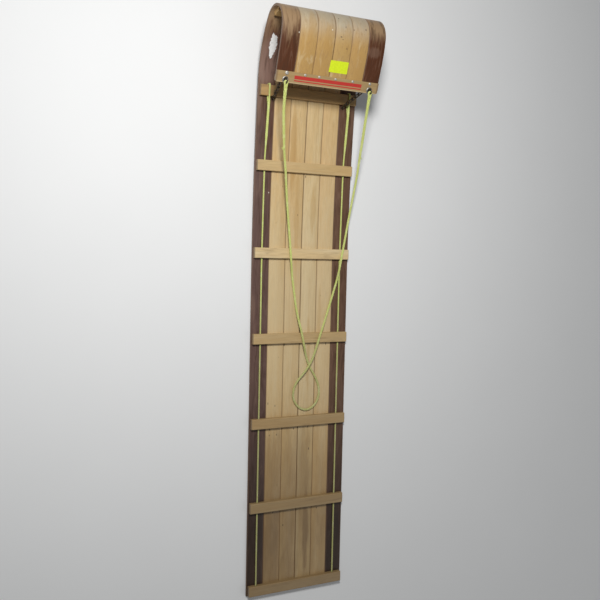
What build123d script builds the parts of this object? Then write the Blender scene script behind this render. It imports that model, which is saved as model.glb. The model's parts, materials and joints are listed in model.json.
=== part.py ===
"""Wooden toboggan: six bent slats on cross cleats, a tip bar, side ropes, curl chains and a tow rope.

It lies on its running side as it parks: X across the deck, Y along it towards the curl, Z up, in
millimetres from the middle of its length and width.
"""
import os
from math import degrees, radians, tan

from build123d import *

os.makedirs("parts", exist_ok=True)

# Slats, and the line of their running side from the tail round the curl
slat_count = 6
slat_width = 75.0
slat_gap = 1.2
slat_thickness = 9.0
flat_length = 1400.0
rise_radius = 8000.0
rise_length = 801.0
toe_radius = 397.0
toe_angle = 35.5
crown_radius = 86.0
crown_angle = 148.0
return_radius = 480.0
return_angle = 12.0
return_straight = 66.0

# Cleats across the deck, counted from the tail, then the one under the tip and the one inside the curl
cleat_count = 6
cleat_pitch = 366.0
cleat_width = 44.0
cleat_height = 19.0
cleat_inset = 5.5
cleat_edge = 3.0
front_cleat_setback = 45.0
curl_cleat_angle = 37.0
curl_cleat_inset = 16.0
wood_seat = 0.02

# Bar across the tip, with a rebate that takes the slat ends
bar_width = 44.0
bar_lip = 5.0
bar_lap = 18.0
bar_corner = 9.0
bar_edge = 2.0
lap_play = 0.3

# Eye bolts through the bar, whose eyes take the tow rope, in eyelets with a domed rim and a sunk middle
bolt_inset = 40.0
bolt_from_edge = 12.0
bolt_size = 6.0
bolt_eye_radius = 9.5
bolt_eye_wire = 5.0
bolt_play = 0.1
eyelet_size = 27.0
eyelet_cup = 13.0
eyelet_floor = 1.6
eyelet_dome = 4.0
eyelet_edge = 1.0
eyelet_wall = 1.2
eyelet_play = 0.1

# Eye nuts on the bolts' inner ends, which take the chains
nut_size = 14.0
nut_eye_radius = 9.0
nut_eye_wire = 5.0
nut_eye_height = 16.0
nut_thread_depth = 4.4

# Screw eyes in the front cleat, and the two short chains that hold the curl down
chain_foot_inset = 65.0
eye_wire = 3.6
eye_radius = 6.6
eye_shank = 14.0
eye_standoff = 3.0
eye_play = 0.05
chain_links = 7
chain_wire = 5.0
link_inner_width = 8.0
link_play = 0.3

# Side ropes, which run under the cleats, over the front one and back beneath it
side_rope_size = 7.0
side_rope_inset = 42.0
side_rope_seat = 0.3
side_rope_end = 8.0
side_rope_tuck = 30.0
side_rope_lead = 6.0
side_rope_bend = 200.0
notch_width = 10.0
notch_height = 9.6
notch_round = 4.0

# Tow rope, with a spliced loop round the wire of each bolt's eye
tow_rope_size = 10.0
splice_rope_size = 8.0
splice_shoulder = 20.0
splice_throat = 56.0
splice_neck = 8.8
splice_play = 0.4
rope_joint = 0.4
bend_share = 0.45

# The tow rope from the left splice to the right one: it sags to a cleat and lies on the deck with one loop
tow_route = [
    (-179, 860, 204), (-170, 811, 179), (-154, 745, 149), (-138, 673, 118.5), (-117, 598, 91),
    (-102, 521, 68), (-87, 441, 50), (-74, 363, 39.5), (-66, 296, 37), (-59, 222, 37.5), (-46, 169, 17),
    (-34, 103, 14.3), (-22, 23, 15), (-13, -43, 35), (-4, -75, 37.5), (11, -140, 37), (27, -177, 16),
    (46, -231, 14.3), (76, -276, 14.3), (97, -322, 14.4), (99, -367, 14.3), (79, -409, 14.4),
    (38, -430, 14.3), (-5, -411, 14.4), (-29, -369, 14.3), (-25, -322, 16), (-6, -286, 22),
    (18, -259, 28), (54, -208, 28), (72, -140, 37.5), (93, -74, 37), (122, -22, 16), (146, 53, 14.3),
    (168, 125, 15), (174, 177, 31), (178, 222, 38), (192, 296, 37.5), (202, 363, 41), (210, 441, 52),
    (217, 521, 69), (220, 598, 91), (215, 673, 118.5), (210, 745, 149), (203, 811, 179), (197, 860, 204),
]

deck_width = slat_count * slat_width + (slat_count - 1) * slat_gap
side_rope_x = deck_width / 2 - side_rope_inset
chain_foot_x = deck_width / 2 - chain_foot_inset
bolt_x = deck_width / 2 - bolt_inset
sides = {"left": -1, "right": 1}

# The running side, seen from the right
with BuildLine() as running_side:
    flat_run = Line((0, 0), (flat_length, 0))
    rise_run = JernArc(flat_run @ 1, flat_run % 1, rise_radius, degrees(rise_length / rise_radius))
    toe_run = JernArc(rise_run @ 1, rise_run % 1, toe_radius, toe_angle)
    crown_run = JernArc(toe_run @ 1, toe_run % 1, crown_radius, crown_angle)
    return_run = JernArc(crown_run @ 1, crown_run % 1, return_radius, return_angle)
    Line(return_run @ 1, return_run @ 1 + (return_run % 1) * (return_straight + bar_lap))

half_length = running_side.wire().bounding_box().max.X / 2
side_view = Plane(origin=(0, -half_length, 0), x_dir=(0, 1, 0), z_dir=(1, 0, 0))
running_wire = side_view.from_local_coords(running_side.wire())
crown_start = flat_length + rise_length + toe_run.length
bar_start = running_wire.length - bar_lap


def section_plane(along, lift=0.0):
    """Plane seen from the right at a length along the running side: x along the slats, y off the deck."""
    foot = running_wire.position_at(along, position_mode=PositionMode.LENGTH)
    heading = running_wire.tangent_at(along, position_mode=PositionMode.LENGTH)
    normal = Vector(1, 0, 0).cross(heading)
    return Plane(origin=foot + normal * lift, x_dir=heading, z_dir=(1, 0, 0))


def write(piece, name):
    piece.part.label = name
    export_step(piece.part, f"parts/{name}.step")


# Slats, from left to right
with BuildSketch() as slat_side:
    with BuildLine():
        add(running_side.line)
        offset(amount=slat_thickness, side=Side.LEFT)
    make_face()

for number in range(slat_count):
    left_edge = number * (slat_width + slat_gap) - deck_width / 2
    with BuildPart() as slat:
        with BuildSketch(side_view.offset(left_edge)):
            add(slat_side.sketch_local)
        extrude(amount=slat_width)
    write(slat, f"slat_{number + 1}")

# Cleats: bars with eased upper edges, notched underneath where the side ropes run
front_cleat_along = flat_length + rise_length - front_cleat_setback
bend_clearance = cleat_width**2 / (8 * (rise_radius - slat_thickness))


def make_cleat(along, seat, inset=cleat_inset, underside_radius=0.0, notched=True, eye_holes=False):
    """One cleat; an underside radius fits it to the hollow of a tight bend."""
    section = section_plane(along, slat_thickness + seat)
    across = Plane(origin=section.origin, x_dir=(1, 0, 0), z_dir=-section.x_dir)
    with BuildPart() as cleat:
        with BuildSketch(section) as profile:
            Rectangle(cleat_width, cleat_height, align=(Align.CENTER, Align.MIN))
            fillet(profile.vertices().group_by(Axis.Y)[-1], cleat_edge)
            if underside_radius:
                with Locations((0, underside_radius)):
                    Circle(underside_radius, mode=Mode.INTERSECT)
        extrude(amount=deck_width / 2 - inset, both=True)
        if notched:
            with BuildSketch(across) as notches:
                with Locations((-side_rope_x, 0), (side_rope_x, 0)):
                    Rectangle(notch_width, notch_height, align=(Align.CENTER, Align.MIN))
                fillet(notches.vertices().group_by(Axis.Y)[-1], notch_round)
            extrude(amount=cleat_width / 2, both=True, mode=Mode.SUBTRACT)
        if eye_holes:
            with BuildSketch(across.offset(cleat_width / 2)):
                with Locations((-chain_foot_x, cleat_height / 2), (chain_foot_x, cleat_height / 2)):
                    Circle(eye_wire / 2 + eye_play)
            extrude(amount=-eye_shank, mode=Mode.SUBTRACT)
    return cleat


cleat_places = [cleat_width / 2 + number * cleat_pitch for number in range(cleat_count)]
for number, along in enumerate(cleat_places):
    seat = wood_seat if along + cleat_width / 2 < flat_length else wood_seat + bend_clearance
    write(make_cleat(along, seat), f"cleat_{number + 1}")

front_cleat_seat = wood_seat + bend_clearance
write(make_cleat(front_cleat_along, front_cleat_seat, eye_holes=True), "cleat_front")

curl_cleat_along = crown_start + radians(curl_cleat_angle) * crown_radius
curl_hollow = crown_radius - slat_thickness - wood_seat
write(make_cleat(curl_cleat_along, wood_seat, curl_cleat_inset, curl_hollow, notched=False), "cleat_curl")

# Tip bar: its lip lies on the slats' running side and its body closes their ends
bar_section = section_plane(bar_start)
bar_plan = Plane(origin=bar_section.origin, x_dir=(1, 0, 0), z_dir=-bar_section.y_dir)
bar_thickness = bar_lip + slat_thickness
bolt_along = bar_width - bolt_from_edge
eyelet_bore = bolt_size + 2 * bolt_play

with BuildPart() as tip_bar:
    with BuildSketch(bar_section) as profile:
        with BuildLine():
            Polyline(
                (0, -bar_lip),
                (bar_width, -bar_lip),
                (bar_width, slat_thickness),
                (bar_lap + lap_play, slat_thickness),
                (bar_lap + lap_play, 0),
                (0, 0),
                close=True,
            )
        make_face()
        fillet(profile.vertices().group_by(Axis.Y)[0], bar_edge)
        fillet(profile.vertices().group_by(Axis.Y)[-1].sort_by(Axis.X)[-1], bar_edge)
    extrude(amount=deck_width / 2, both=True)
    with BuildSketch(bar_plan) as outline:
        with Locations((0, -bar_width / 2)):
            Rectangle(deck_width, bar_width)
        fillet(outline.vertices().group_by(Axis.Y)[0], bar_corner)
    extrude(amount=bar_thickness, both=True, mode=Mode.INTERSECT)
    with BuildSketch(bar_plan):
        with Locations((-bolt_x, -bolt_along), (bolt_x, -bolt_along)):
            Circle(eyelet_bore / 2 + eyelet_wall + eyelet_play)
    extrude(amount=bar_thickness, both=True, mode=Mode.SUBTRACT)
write(tip_bar, "tip_bar")

# Eyelets: a domed rim on the bar's outer face round a sunk middle, and a tube that lines the bolt's hole
bolt_holes = {side: bar_section.origin + bar_section.x_dir * bolt_along + Vector(sign * bolt_x, 0, 0)
              for side, sign in sides.items()}
for side, hole in bolt_holes.items():
    with BuildPart() as eyelet:
        with BuildSketch(Plane(origin=hole, x_dir=(1, 0, 0), z_dir=bar_section.x_dir)):
            with BuildLine():
                ThreePointArc(
                    (eyelet_cup / 2, bar_lip + eyelet_floor),
                    ((eyelet_cup + eyelet_size) / 4, bar_lip + eyelet_dome),
                    (eyelet_size / 2, bar_lip + eyelet_edge),
                )
                Polyline(
                    (eyelet_size / 2, bar_lip + eyelet_edge),
                    (eyelet_size / 2, bar_lip),
                    (eyelet_bore / 2 + eyelet_wall, bar_lip),
                    (eyelet_bore / 2 + eyelet_wall, -slat_thickness),
                    (eyelet_bore / 2, -slat_thickness),
                    (eyelet_bore / 2, bar_lip + eyelet_floor),
                    (eyelet_cup / 2, bar_lip + eyelet_floor),
                )
            make_face()
        revolve(axis=Axis(hole, bar_section.y_dir))
    write(eyelet, f"eyelet_{side}")


def make_eye(centre, stem, pull, radius, wire, stem_size, stem_length, thread=0.0):
    """A ring in the plane of its stem and of what pulls on it; a threaded stem is open at its end."""
    ring = Plane(origin=centre, x_dir=stem, z_dir=stem.cross(pull))
    with BuildPart(ring) as eye:
        Torus(radius, wire / 2)
        with BuildSketch(Plane(origin=centre + stem * radius, z_dir=stem)):
            Circle(stem_size / 2)
        extrude(amount=stem_length)
        if thread:
            with BuildSketch(Plane(origin=centre + stem * (radius + stem_length), z_dir=stem)):
                Circle(bolt_size / 2 + bolt_play)
            extrude(amount=-thread, mode=Mode.SUBTRACT)
    return eye


def make_chain(top, foot, top_face, foot_face):
    """Links from ring to ring, each about a quarter turn on from the one before."""
    pull = (foot - top).normalized()
    top_bearing = nut_eye_radius - nut_eye_wire / 2 - chain_wire / 2 - link_play
    foot_bearing = eye_radius - eye_wire / 2 - chain_wire / 2 - link_play
    span = (foot - top).length - top_bearing - foot_bearing
    link_length = (span + (chain_links - 1) * (chain_wire + link_play)) / chain_links
    bend = (link_inner_width + chain_wire) / 2
    straight = link_length - 2 * bend
    steps = chain_links - 1
    twist = top_face.get_signed_angle(foot_face, pull)
    quarter = (twist + 180 * round((90 * steps - twist) / 180)) / steps
    with BuildPart() as chain:
        for number in range(chain_links):
            before = number * (link_length - chain_wire - link_play)
            middle = top + pull * (top_bearing + link_length / 2 + before)
            square_on = top_face.cross(pull).rotate(Axis((0, 0, 0), pull), number * quarter)
            face = Plane(origin=middle, x_dir=pull, z_dir=square_on)
            with BuildLine(face) as path:
                near = Line((-straight / 2, -bend), (straight / 2, -bend))
                turn = JernArc(near @ 1, near % 1, bend, 180)
                back = Line(turn @ 1, turn @ 1 - (near % 1) * straight)
                JernArc(back @ 1, back % 1, bend, 180)
            with BuildSketch(Plane(origin=near @ 0, z_dir=near % 0)):
                Circle(chain_wire / 2)
            sweep(path=path.wire())
    return chain


front_section = section_plane(front_cleat_along, slat_thickness + front_cleat_seat)
deck_eye = (front_section.origin + front_section.y_dir * (cleat_height / 2)
            - front_section.x_dir * (cleat_width / 2 + eye_radius + eye_standoff))
screw_stem = eye_standoff + eye_shank
nut_stem = nut_eye_height - nut_eye_radius - bolt_play
outward = bar_section.y_dir * -1
nut_seat = slat_thickness + bolt_play
for side, sign in sides.items():
    top = bolt_holes[side] - outward * (slat_thickness + nut_eye_height)
    foot = deck_eye + Vector(sign * chain_foot_x, 0, 0)
    pull = (foot - top).normalized()
    nut = make_eye(top, outward, pull, nut_eye_radius, nut_eye_wire, nut_size, nut_stem, nut_thread_depth)
    write(nut, f"chain_eye_{side}")
    screw = make_eye(foot, front_section.x_dir, pull, eye_radius, eye_wire, eye_wire, screw_stem)
    write(screw, f"deck_eye_{side}")
    top_face = outward.cross(pull).normalized()
    foot_face = front_section.x_dir.cross(pull).normalized()
    write(make_chain(top, foot, top_face, foot_face), f"chain_{side}")


def sweep_rope(route, radii, size):
    with BuildPart() as rope:
        with BuildLine() as path:
            FilletPolyline(*route, radius=radii)
        with BuildSketch(Plane(origin=path.wire() @ 0, z_dir=path.wire() % 0)):
            Circle(size / 2)
        sweep()
    return rope


# Side ropes, pulled straight
rope_lift = side_rope_size / 2 + side_rope_seat
edge_bend = cleat_edge + rope_lift
last_cleat_front = cleat_places[-1] + cleat_width / 2 + side_rope_lead
over_front = front_section.y_dir * (cleat_height + rope_lift)
under_front = section_plane(front_cleat_along, slat_thickness + rope_lift).origin
front_half = front_section.x_dir * (cleat_width / 2)
front_gap = front_section.x_dir * rope_lift
for side, sign in sides.items():
    across = Vector(sign * side_rope_x, 0, 0)
    side_route = [
        section_plane(side_rope_end, slat_thickness + rope_lift).origin,
        section_plane(flat_length + cleat_width, slat_thickness + rope_lift).origin,
        section_plane(last_cleat_front, slat_thickness + rope_lift).origin,
        front_section.origin + over_front - front_half,
        front_section.origin + over_front + front_half + front_gap,
        under_front + front_half + front_gap,
        under_front + front_half - front_section.x_dir * side_rope_tuck,
    ]
    side_radii = [side_rope_bend] * 3 + [edge_bend] * 2
    rope = sweep_rope([point + across for point in side_route], side_radii, side_rope_size)
    write(rope, f"side_rope_{side}")

# Tow rope: each arc as wide as its two runs allow
tow_points = [Vector(*point) for point in tow_route]
tow_radii = []
for before, here, after in zip(tow_points, tow_points[1:], tow_points[2:]):
    turn = (here - before).get_angle(after - here)
    shorter = min((here - before).length, (after - here).length)
    tow_radii.append(bend_share * shorter / tan(radians(turn / 2)))
write(sweep_rope(tow_points, tow_radii, tow_rope_size), "tow_rope")

# Eye bolts, and the splices: a loop round the eye's wire, drawn together into a neck
bolt_eye_height = bar_lip + eyelet_floor + bolt_play + bolt_eye_wire / 2 + bolt_eye_radius
bolt_length = bolt_eye_height - bolt_eye_radius + nut_seat + nut_thread_depth - 2 * bolt_play
leg_reach = (bolt_eye_wire + splice_rope_size) / 2 + splice_play
loop_bend = leg_reach - splice_play / 2
side_by_side = (splice_rope_size + rope_joint) / 2
for side, last in (("left", tow_points[0]), ("right", tow_points[-1])):
    eye_centre = bolt_holes[side] + outward * bolt_eye_height
    lead = (last - eye_centre).normalized()
    bolt = make_eye(eye_centre, outward * -1, lead, bolt_eye_radius, bolt_eye_wire, bolt_size, bolt_length)
    write(bolt, f"bar_eye_{side}")
    bight = eye_centre + lead * bolt_eye_radius
    loop_plane = Plane(origin=bight, x_dir=lead, z_dir=lead.cross(outward.cross(lead)))
    with BuildPart() as splice:
        with BuildLine(loop_plane) as path:
            FilletPolyline(
                (splice_throat, -side_by_side), (splice_throat / 2, -leg_reach), (-leg_reach, -leg_reach),
                (-leg_reach, leg_reach), (splice_throat / 2, leg_reach), (splice_throat, side_by_side),
                radius=[splice_shoulder, loop_bend, loop_bend, splice_shoulder],
            )
        with BuildSketch(Plane(origin=path.wire() @ 0, z_dir=path.wire() % 0)):
            Circle(splice_rope_size / 2)
        sweep()
        square = Plane(origin=bight, x_dir=loop_plane.y_dir, z_dir=lead)
        with BuildSketch(square.offset(splice_throat - splice_rope_size)):
            Ellipse(splice_neck, splice_rope_size / 2)
        with BuildSketch(square.offset((last - bight).length - rope_joint)):
            Circle(tow_rope_size / 2)
        loft()
    write(splice, f"splice_{side}")

print("slat length", round(running_wire.length), "deck width", round(deck_width, 1))
print("tow rope radii", [round(radius) for radius in tow_radii])
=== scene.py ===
"""Wooden toboggan: its visual model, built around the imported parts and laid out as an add-on."""
import json
from collections import namedtuple
from math import atan2, cos, hypot, pi, radians, sin
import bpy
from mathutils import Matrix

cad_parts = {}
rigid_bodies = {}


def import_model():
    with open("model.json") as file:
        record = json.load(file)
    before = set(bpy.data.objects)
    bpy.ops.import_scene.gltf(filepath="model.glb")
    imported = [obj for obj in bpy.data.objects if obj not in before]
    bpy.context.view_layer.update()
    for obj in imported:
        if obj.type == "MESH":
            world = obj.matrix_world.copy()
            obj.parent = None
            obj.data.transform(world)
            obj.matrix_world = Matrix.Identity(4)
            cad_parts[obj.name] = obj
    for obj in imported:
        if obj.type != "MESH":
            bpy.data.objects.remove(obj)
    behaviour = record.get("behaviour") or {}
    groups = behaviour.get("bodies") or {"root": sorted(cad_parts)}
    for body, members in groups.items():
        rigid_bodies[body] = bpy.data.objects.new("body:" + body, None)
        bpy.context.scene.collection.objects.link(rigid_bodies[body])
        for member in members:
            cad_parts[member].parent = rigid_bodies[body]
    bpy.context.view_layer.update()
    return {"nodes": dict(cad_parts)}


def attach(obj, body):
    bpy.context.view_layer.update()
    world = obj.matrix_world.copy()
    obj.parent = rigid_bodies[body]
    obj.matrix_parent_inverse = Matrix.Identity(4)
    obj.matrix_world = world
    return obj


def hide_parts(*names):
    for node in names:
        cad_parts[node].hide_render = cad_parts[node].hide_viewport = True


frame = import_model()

from types import SimpleNamespace

import bmesh
import bpy
import numpy as np
from bpy.props import FloatProperty, FloatVectorProperty, PointerProperty
from mathutils import Matrix, Vector

bl_info = {
    "name": "Wooden toboggan",
    "version": (1, 0, 0),
    "blender": (4, 5, 0),
    "location": "View3D > Sidebar > Toboggan",
    "description": "Bent slats, braided ropes, fittings and finishes of a wooden toboggan",
    "category": "Add Mesh",
}

# Sizes shared with the solids, in metres
deck_width = 0.456
slat_width = 0.075
slat_thickness = 0.009
flat_length = 1.4
rise_length = 0.801
bends = ((8.0, rise_length / 8.0), (0.397, radians(35.5)), (0.086, radians(148)), (0.48, radians(12)))
tip_straight = 0.066
bar_lap = 0.018
bar_width = 0.044
bar_lip = 0.005
cleat_width = 0.044
cleat_height = 0.019
cleat_pitch = 0.366
front_cleat_setback = 0.045
curl_cleat_turn = radians(37)
bolt_x = deck_width / 2 - 0.040
bolt_along = bar_width - 0.012
bolt_eye_height = 0.0187
bolt_eye_radius = 0.0095
side_rope_x = deck_width / 2 - 0.042
side_rope_size = 0.007
tow_rope_size = 0.010
splice_rope_size = 0.008
rope_seat = 0.0003


# One run of the slats' running line: how far along it starts and where, its heading, length and radius
Run = namedtuple("Run", "start y z heading length radius")


def lay_out_runs():
    """The flat, the bends and the straight tip, with the whole centred on its length."""
    runs = [Run(0.0, 0.0, 0.0, 0.0, flat_length, 0.0)]
    along, y, z, heading = flat_length, flat_length, 0.0, 0.0
    for radius, turn in bends:
        runs.append(Run(along, y, z, heading, radius * turn, radius))
        along += radius * turn
        y += radius * (sin(heading + turn) - sin(heading))
        z += radius * (cos(heading) - cos(heading + turn))
        heading += turn
    runs.append(Run(along, y, z, heading, tip_straight + bar_lap, 0.0))
    crown = runs[3]
    reach = crown.y - crown.radius * sin(crown.heading) + crown.radius
    return [run._replace(y=run.y - reach / 2) for run in runs]


runs = lay_out_runs()
crown = runs[3]
bar_start = runs[-1].start + tip_straight
front_cleat_along = flat_length + rise_length - front_cleat_setback
last_cleat_along = cleat_width / 2 + 5 * cleat_pitch


def on_slats(along, lift=0.0, across=0.0):
    """Place at a length along the running line and a height off it, with the heading and normal there."""
    start, y, z, heading, length, radius = [run for run in runs if run.start <= max(along, 0.0)][-1]
    if radius:
        turn = (along - start) / radius
        y += radius * (sin(heading + turn) - sin(heading))
        z += radius * (cos(heading) - cos(heading + turn))
        heading += turn
    else:
        y += (along - start) * cos(heading)
        z += (along - start) * sin(heading)
    forward = Vector((0, cos(heading), sin(heading)))
    normal = Vector((0, -sin(heading), cos(heading)))
    return Vector((across, y, z)) + normal * lift, forward, normal


def unbend(y, z):
    """Length along the running line and height off it of a place on a slat."""
    found = None
    for start, run_y, run_z, heading, length, radius in runs:
        if radius:
            middle_y, middle_z = run_y - radius * sin(heading), run_z + radius * cos(heading)
            turn = (atan2(y - middle_y, middle_z - z) - heading + pi) % (2 * pi) - pi
            along, lift = radius * turn, radius - hypot(y - middle_y, z - middle_z)
        else:
            along = (y - run_y) * cos(heading) + (z - run_z) * sin(heading)
            lift = (z - run_z) * cos(heading) - (y - run_y) * sin(heading)
        miss = max(-along, along - length, 0.0) + max(-lift, lift - slat_thickness, 0.0)
        if found is None or miss < found[0]:
            found = (miss, start + along, lift)
    return found[1:]


def colour_setting(name, description, default):
    return FloatVectorProperty(
        name=name, description=description, subtype="COLOR", default=default, min=0, max=1)


class TobogganWood(bpy.types.PropertyGroup):
    """Colours of the wood."""

    pale: colour_setting("Pale slats", "Varnished colour of the inner slats", (0.605, 0.450, 0.238))
    stained: colour_setting("Stained slats", "Colour of the two outer slats", (0.112, 0.055, 0.034))
    cleat: colour_setting("Cleats", "Colour of the cleats and the tip bar", (0.55, 0.395, 0.195))


class TobogganRope(bpy.types.PropertyGroup):
    """Colour and lay of the braided ropes."""

    colour: colour_setting("Rope", "Colour of the rope's yarns", (0.68, 0.74, 0.235))
    lay: FloatProperty(
        name="Lay", description="Length of one turn of a yarn, in rope sizes", default=6.0, min=2, max=10)


class TobogganFittings(bpy.types.PropertyGroup):
    """Colours of the metal and the paper."""

    zinc: colour_setting("Plating", "Colour of the eyelets, bolts and screws", (0.62, 0.60, 0.55))
    paper: colour_setting("Slip", "Colour of the blank paper slip on the curl", (0.64, 0.76, 0.008))
    chain: colour_setting("Chain", "Colour of the chains and screw eyes", (0.13, 0.105, 0.08))


class TobogganStage(bpy.types.PropertyGroup):
    """Floor and lamps."""

    floor: colour_setting("Floor", "Colour of the floor", (0.80, 0.80, 0.79))
    key: FloatProperty(
        name="Key lamp", description="Power of the large lamp", default=64.0, min=0, unit="POWER")


settings_names = {
    "toboggan_wood": TobogganWood, "toboggan_rope": TobogganRope,
    "toboggan_fittings": TobogganFittings, "toboggan_stage": TobogganStage,
}


class Finish:
    """One procedural material, made by short calls that each add a node; its colour is painted in layers."""

    def __init__(self, name):
        self.material = bpy.data.materials.new(name)
        self.material.use_nodes = True
        self.nodes = self.material.node_tree.nodes
        self.links = self.material.node_tree.links
        self.nodes.clear()
        self.surface = self.add("BsdfPrincipled")
        output = self.add("OutputMaterial")
        self.links.new(self.surface.outputs["BSDF"], output.inputs["Surface"])
        self.colour = None

    def add(self, kind, *values, **settings):
        """Adds a node with its settings, and feeds its first inputs in their order."""
        node = self.nodes.new("ShaderNode" + kind)
        for name, value in settings.items():
            setattr(node, name, value)
        for socket, value in zip(node.inputs, values):
            self.feed(socket, value)
        return node

    def feed(self, socket, value):
        """Links a socket to another one, or sets its own value."""
        if isinstance(value, bpy.types.NodeSocket):
            self.links.new(value, socket)
        elif socket.type == "RGBA":
            socket.default_value = (*value, 1)
        else:
            socket.default_value = value

    def done(self, **values):
        """Sets the surface's colour and its other values, and gives the material."""
        for name, value in {"Base_Color": self.colour, **values}.items():
            self.feed(self.surface.inputs[name.replace("_", " ")], value)
        return self.material

    def object_place(self):
        return self.add("TexCoord").outputs["Object"]

    def attribute(self, name):
        return self.add("Attribute", attribute_name=name).outputs["Vector"]

    def split(self, vector):
        return self.add("SeparateXYZ", vector).outputs[:3]

    def join(self, x, y, z):
        return self.add("CombineXYZ", x, y, z).outputs[0]

    def stretch(self, vector, scale, shift=(0, 0, 0)):
        node = self.add("Mapping")
        self.feed(node.inputs["Vector"], vector)
        node.inputs["Scale"].default_value = scale
        node.inputs["Location"].default_value = shift
        return node.outputs[0]

    def noise(self, vector, scale=(1, 1, 1), detail=2.0, roughness=0.5, warp=0.0, shift=(0, 0, 0)):
        node = self.add("TexNoise")
        vector = self.stretch(vector, scale, shift)
        for name, value in (("Vector", vector), ("Scale", 1), ("Detail", detail), ("Roughness", roughness),
                            ("Distortion", warp)):
            self.feed(node.inputs[name], value)
        return node.outputs["Fac"]

    def calc(self, operation, *values):
        return self.add("Math", *values, operation=operation).outputs[0]

    def times(self, first, second):
        return self.calc("MULTIPLY", first, second)

    def spread(self, value, low, high, to_low=0.0, to_high=1.0):
        """A smooth step from one value to another, as the input goes from low to high."""
        node = self.add("MapRange", value, low, high, to_low, to_high, interpolation_type="SMOOTHSTEP")
        return node.outputs[0]

    def mix(self, factor, first, second, blend="MIX"):
        """Mixes two colours, whose sockets are the Mix node's inputs 6 and 7 and its output 2."""
        node = self.add("Mix", data_type="RGBA", blend_type=blend)
        for index, value in ((0, factor), (6, first), (7, second)):
            self.feed(node.inputs[index], value)
        return node.outputs[2]

    def paint(self, where, tone):
        """One more layer over what is painted so far."""
        self.colour = self.mix(where, self.colour, tone)

    def distance(self, vector, middle, size):
        """Distance from a place, in sizes of a stretched spot."""
        moved = self.stretch(vector, tuple(1 / length for length in size),
                             tuple(-place / length for place, length in zip(middle, size)))
        return self.add("VectorMath", moved, operation="LENGTH").outputs["Value"]

    def bump(self, height, depth, strength):
        node = self.add("Bump")
        for name, value in (("Height", height), ("Distance", depth), ("Strength", strength)):
            self.feed(node.inputs[name], value)
        self.feed(self.surface.inputs["Normal"], node.outputs["Normal"])


def shaded(tone, shares):
    """A tone with each channel multiplied by its share."""
    return tuple(value * share for value, share in zip(tone, shares))


def wood_grain(finish, grain, tone, rings, streaks, seed):
    """Paints a board whose grain runs along the second axis; gives its relief, broad figure and streaks."""
    shift = (seed * 3.1, seed * 1.7, seed * 5.3)
    figure = finish.noise(grain, (16, 1.1, 16), 2.5, 0.55, 0.6, shift)
    streak = finish.noise(grain, (95, 3.2, 95), 3.0, 0.55, 0.3, shift)
    pores = finish.noise(grain, (620, 16, 620), 2.0, 0.6, 0.0, shift)
    ring = finish.calc("SINE", finish.times(figure, 95.0))
    warm = shaded(tone, (0.93, 0.86, 0.74))
    finish.colour = finish.mix(finish.spread(figure, 0.36, 0.66), tone, warm)
    finish.paint(finish.times(finish.spread(streak, 0.50, 0.78), streaks), shaded(tone, (0.76, 0.64, 0.50)))
    finish.paint(finish.times(finish.spread(ring, 0.35, 1.0), rings), warm)
    pore = finish.spread(pores, 0.30, 0.62, 0.88, 1.04)
    finish.colour = finish.mix(1.0, finish.colour, finish.join(pore, pore, pore), "MULTIPLY")
    return finish.calc("ADD", finish.times(pores, 0.6), finish.times(streak, 0.5)), figure, streak


def stain(finish, grain, middle, size, shade, strength, edge=0.35, seed=0.0):
    """Paints a soft patch of another shade at a place on a board."""
    ragged = finish.noise(grain, (90, 14, 90), 3.0, 0.6, 0.4, (seed, seed, seed))
    ragged = finish.times(finish.calc("SUBTRACT", ragged, 0.5), 1.3)
    away = finish.calc("ADD", finish.distance(grain, (*middle, 0), (*size, 1)), ragged)
    finish.paint(finish.spread(away, 1 + edge, 1 - edge, 0, strength), shade)


# Shades of the marks, the dirt and the wear, some of them also painted shade and sheen
amber = (0.42, 0.245, 0.075)
brown = (0.20, 0.115, 0.05)
honey = (0.47, 0.30, 0.115)
dark_honey = (0.30, 0.175, 0.07)
milky = (0.60, 0.49, 0.30)
# Grey-green dust over the pale slats' crown, partly a painted sheen
olive_dust_and_sheen = (0.36, 0.32, 0.23)
worn = (0.25, 0.16, 0.11)
# Faded stain over the dark slats' crown, partly a painted sheen
faded_and_sheen = (0.34, 0.225, 0.12)
plum = (0.118, 0.070, 0.060)
russet = (0.137, 0.075, 0.046)
bloom = (0.25, 0.155, 0.125)
deep_stain = (0.050, 0.024, 0.013)
soot_and_shade = (0.035, 0.024, 0.016)
fleck_brown = (0.035, 0.022, 0.014)
chalk = (0.72, 0.66, 0.54)
dust = (0.17, 0.105, 0.05)
cleat_dirt_and_shade = (0.125, 0.076, 0.036)
end_grain = (0.16, 0.10, 0.055)
bare_wood_and_highlight = (0.74, 0.58, 0.36)
rope_dust = (0.46, 0.47, 0.18)
rope_mud_and_shade = (0.29, 0.19, 0.15)

# What sets the two kinds of slats apart: strength of grain, shares of the tone up the toe and over the crown,
# dirt and painted shade towards the tail and how much of it, shades of worn edges and scratches, and the
# varnish that is left
pale_kind = SimpleNamespace(
    rings=0.38, streaks=0.55, toe=(0.64, 0.72, 1.0), crown=(0.68, 0.52, 0.20),
    dirt_and_shade=(0.125, 0.074, 0.032), dirt_and_shade_strength=0.66, edge=(0.22, 0.12, 0.05), scratch=(0.72, 0.60, 0.42),
    roughness=0.40, specular=0.45, coat=0.10)
stained_kind = SimpleNamespace(
    rings=0.22, streaks=0.75, toe=(0.86, 0.66, 0.48), crown=(0.66, 0.38, 0.16),
    dirt_and_shade=(0.022, 0.015, 0.011), dirt_and_shade_strength=0.87, edge=(0.20, 0.125, 0.085), scratch=(0.28, 0.19, 0.13),
    roughness=0.36, specular=0.25, coat=0.05)
toe_stretch = (2.22, 2.46)
crown_stretch = (2.62, 2.72)

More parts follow.
